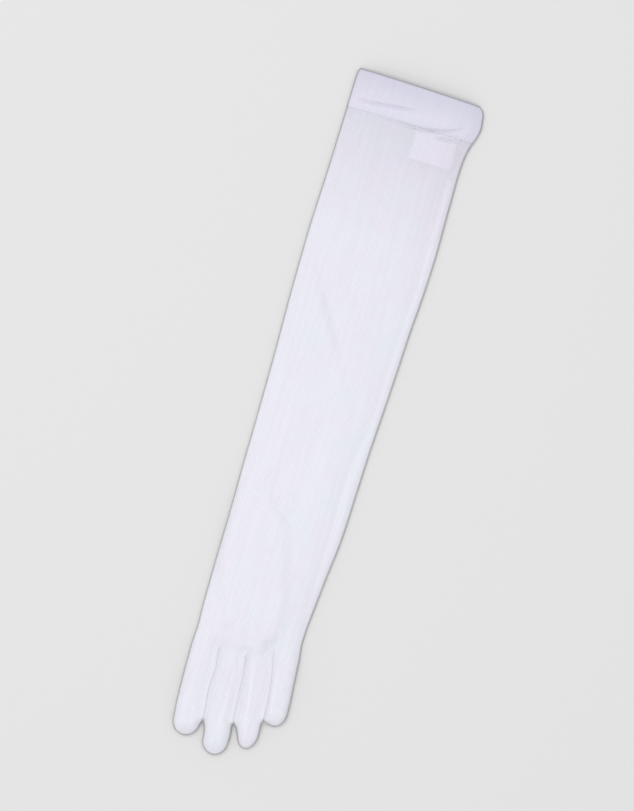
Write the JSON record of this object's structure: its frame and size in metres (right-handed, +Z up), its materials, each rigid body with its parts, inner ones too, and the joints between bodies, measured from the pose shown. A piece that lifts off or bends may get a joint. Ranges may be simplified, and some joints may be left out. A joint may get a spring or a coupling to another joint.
{
  "type": "long tulle glove",
  "caption": "Opera-length sheer stretch-tulle dress glove for the left hand, lying flat with its thumb folded under the palm.",
  "frame": {"origin": "under the middle of the glove, on the surface that it lies on", "axes": "+Y up the sleeve to its open top, +X to the little finger's side, +Z up through the back of the hand"},
  "size_m": [0.1099, 0.5599, 0.0133],
  "materials": {
    "tulle": "matte",
    "doubled_tulle": "matte",
    "label_tape": "satin"
  },
  "bodies": {
    "root": {"sleeve_and_hand": "tulle", "thumb": "tulle", "top_hem": "doubled_tulle", "side_seam": "doubled_tulle", "care_label": "label_tape"}
  },
  "joints": []
}
